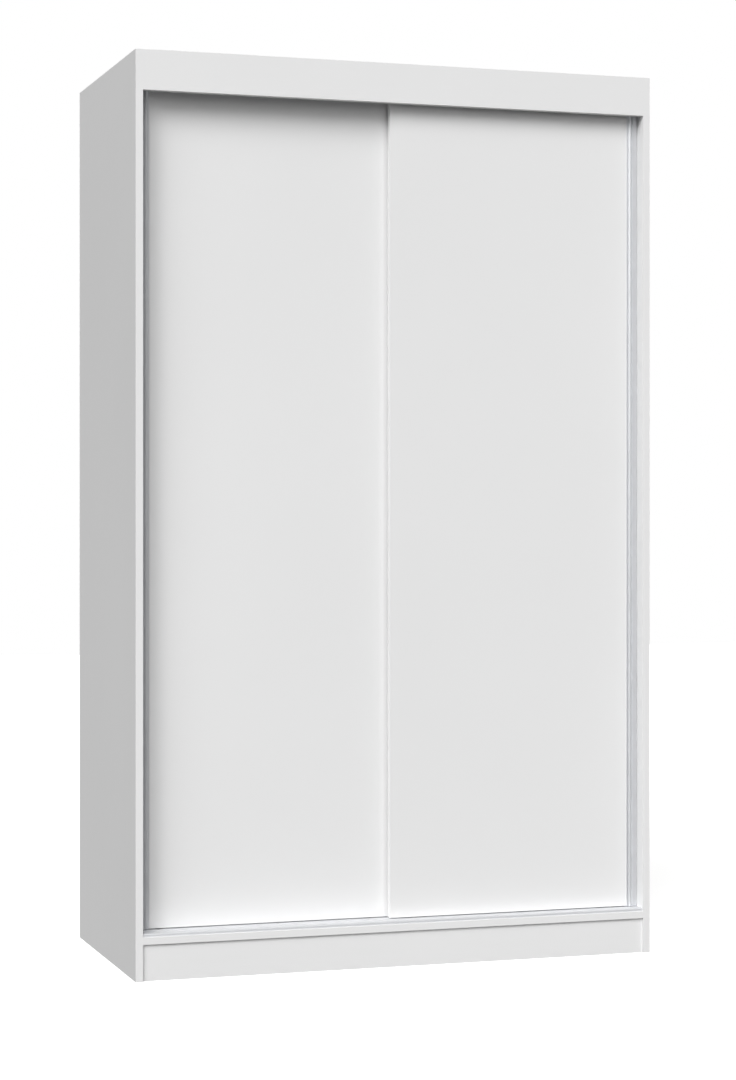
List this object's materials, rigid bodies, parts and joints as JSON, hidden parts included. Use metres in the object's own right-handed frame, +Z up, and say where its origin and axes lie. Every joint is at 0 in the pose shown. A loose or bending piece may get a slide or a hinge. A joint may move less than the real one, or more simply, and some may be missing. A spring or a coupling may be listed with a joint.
{
  "type": "sliding door wardrobe",
  "caption": "Free-standing wardrobe with two sliding doors on an upper and a lower track, a fascia, a recessed plinth, a hanging rail and shelves.",
  "frame": {"origin": "middle of the footprint, on the floor", "axes": "+X to the right seen from the front, +Y from the doors to the back, +Z up"},
  "size_m": [1.2, 0.606, 2],
  "materials": {
    "white_melamine": "white melamine-faced chipboard, satin with a very fine texture",
    "white_hardboard": "white-lacquered hardboard sheet, satin",
    "satin_aluminium": "anodised silver extrusion, satin",
    "chrome_tube": "polished",
    "white_plastic": "moulded, matt",
    "grey_plastic": "moulded, matt",
    "zinc_steel": "zinc plated",
    "beech": "bare fluted beech",
    "nylon": "turned nylon",
    "rubber": "matt"
  },
  "bodies": {
    "carcass": {"left_side_panel": "white_melamine", "right_side_panel": "white_melamine", "top_panel": "white_melamine", "bottom_panel": "white_melamine", "centre_partition": "white_melamine", "fascia_board": "white_melamine", "front_plinth": "white_melamine", "rear_plinth": "white_melamine", "plinth_brace": "white_melamine", "hat_shelf": "white_melamine", "fixed_shelf": "white_melamine", "adjustable_shelf_1": "white_melamine", "adjustable_shelf_2": "white_melamine", "adjustable_shelf_3": "white_melamine", "adjustable_shelf_4": "white_melamine", "left_back_sheet": "white_hardboard", "right_back_sheet": "white_hardboard", "top_track": "satin_aluminium", "bottom_track": "satin_aluminium", "hanging_rail": "chrome_tube", "corner_blocks": "white_plastic", "left_rail_socket": "white_plastic", "right_rail_socket": "white_plastic", "track_stops": "rubber", "dowels": "beech", "cam_locks": "zinc_steel", "cam_bolts": "zinc_steel", "back_nails": "zinc_steel", "partition_screws": "zinc_steel", "block_screws": "zinc_steel", "rail_screws": "zinc_steel", "track_screws": "zinc_steel", "shelf_pins": "zinc_steel"},
    "left_door": {"left_door_board": "white_melamine", "left_door_handle": "satin_aluminium", "left_door_screws": "zinc_steel", "left_door_axles": "zinc_steel", "left_door_wheel_housing_1": "grey_plastic", "left_door_top_guide_1": "grey_plastic", "left_door_wheel_housing_2": "grey_plastic", "left_door_top_guide_2": "grey_plastic"},
    "left_door_wheel_1": {"left_door_wheel_1": "nylon"},
    "left_door_wheel_2": {"left_door_wheel_2": "nylon"},
    "right_door": {"right_door_board": "white_melamine", "right_door_handle": "satin_aluminium", "right_door_screws": "zinc_steel", "right_door_axles": "zinc_steel", "right_door_wheel_housing_1": "grey_plastic", "right_door_top_guide_1": "grey_plastic", "right_door_wheel_housing_2": "grey_plastic", "right_door_top_guide_2": "grey_plastic"},
    "right_door_wheel_1": {"right_door_wheel_1": "nylon"},
    "right_door_wheel_2": {"right_door_wheel_2": "nylon"}
  },
  "joints": [
    {"name": "left_door_slide", "type": "slide", "parent": "carcass", "child": "left_door", "axis": [1, 0, 0], "range_m": [0, 0.54]},
    {"name": "left_door_wheel_1_spin", "type": "hinge", "parent": "left_door", "child": "left_door_wheel_1", "pos_m": [-0.523, -0.235, 0.111], "axis": [0, 1, 0], "continuous": true},
    {"name": "left_door_wheel_2_spin", "type": "hinge", "parent": "left_door", "child": "left_door_wheel_2", "pos_m": [-0.045, -0.235, 0.111], "axis": [0, 1, 0], "continuous": true},
    {"name": "right_door_slide", "type": "slide", "parent": "carcass", "child": "right_door", "axis": [1, 0, 0], "range_m": [-0.54, 0]},
    {"name": "right_door_wheel_1_spin", "type": "hinge", "parent": "right_door", "child": "right_door_wheel_1", "pos_m": [0.045, -0.26, 0.111], "axis": [0, 1, 0], "continuous": true},
    {"name": "right_door_wheel_2_spin", "type": "hinge", "parent": "right_door", "child": "right_door_wheel_2", "pos_m": [0.523, -0.26, 0.111], "axis": [0, 1, 0], "continuous": true}
  ],
  "couplings": [
    {"joint": "left_door_wheel_1_spin", "follows": "left_door_slide", "rad_per_m": 83.333},
    {"joint": "left_door_wheel_2_spin", "follows": "left_door_slide", "rad_per_m": 83.333},
    {"joint": "right_door_wheel_1_spin", "follows": "right_door_slide", "rad_per_m": 83.333},
    {"joint": "right_door_wheel_2_spin", "follows": "right_door_slide", "rad_per_m": 83.333}
  ]
}
